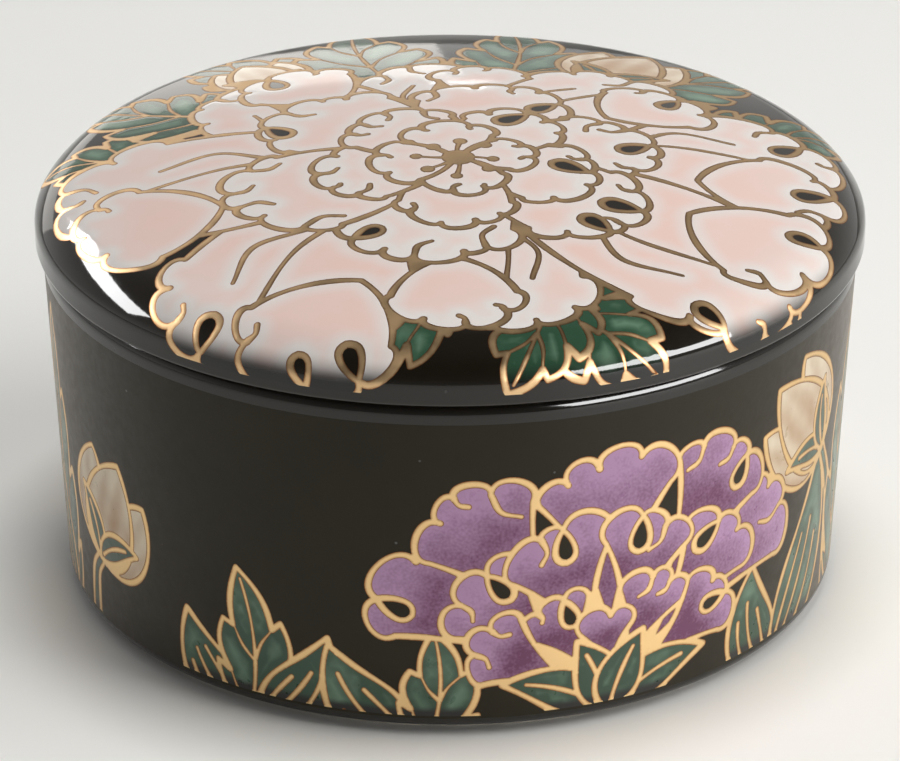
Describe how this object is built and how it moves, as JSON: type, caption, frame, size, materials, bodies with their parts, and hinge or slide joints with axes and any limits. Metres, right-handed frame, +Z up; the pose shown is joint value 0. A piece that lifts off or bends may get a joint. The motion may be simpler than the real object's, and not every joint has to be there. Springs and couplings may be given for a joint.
{
  "type": "covered trinket box",
  "caption": "Round glazed porcelain box with a slightly tapered body on a foot ring and a low domed lid that lifts off, for small keepsakes.",
  "frame": {"origin": "on the box's axis, at the underside of the foot ring", "axes": "+Z up along the axis the box is turned about; -Y towards the side seen in the picture"},
  "size_m": [0.102, 0.102, 0.0568],
  "materials": {
    "body_glaze": "satin black glaze with glossy edges, enamelled flowers and leaves with gilt outlines",
    "lid_glaze": "glossy black glaze, enamelled blossom and leaves with gilt outlines"
  },
  "bodies": {
    "root": {"box_body": "body_glaze", "lid": "lid_glaze"}
  },
  "joints": []
}
